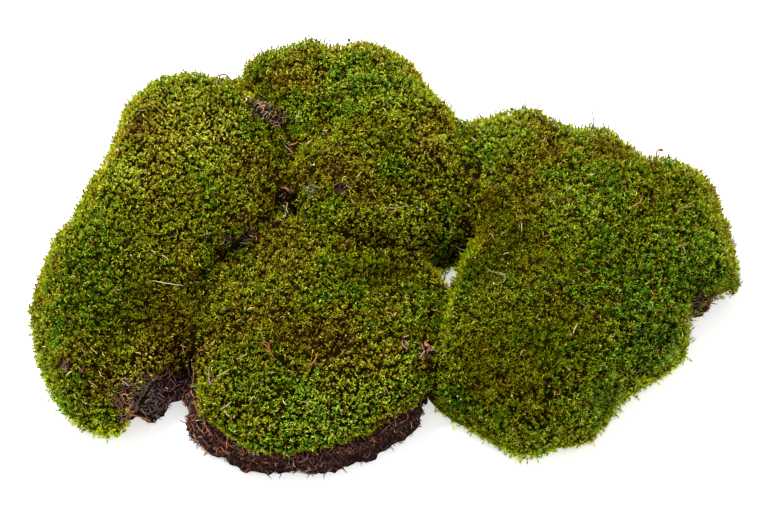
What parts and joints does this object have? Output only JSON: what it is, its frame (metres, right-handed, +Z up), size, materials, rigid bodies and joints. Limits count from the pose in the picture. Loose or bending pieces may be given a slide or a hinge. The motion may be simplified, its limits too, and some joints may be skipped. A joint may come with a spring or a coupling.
{
  "type": "moss clump",
  "caption": "Low clump of green cushion moss: domed cushions pressed and matted together, each on a flat mat of dark soil and rootlets.",
  "frame": {"origin": "middle of the clump's base, at the height of the surface it lies on", "axes": "+Z up out of the base, +X along the clump's longest side, +Y towards its high back cushion"},
  "size_m": [0.3026, 0.23, 0.0478],
  "materials": {
    "moss": "dense, fine, star-tipped leafy shoots in yellow-green to olive, dull, with brown gaps between them",
    "soil": "dark purplish-brown crumbly soil, matted with fine reddish-brown rootlets, rough and dull"
  },
  "bodies": {
    "root": {"moss_left": "moss", "moss_back": "moss", "moss_front": "moss", "moss_right": "moss", "soil_left": "soil", "soil_back": "soil", "soil_front": "soil", "soil_right": "soil"}
  },
  "joints": []
}
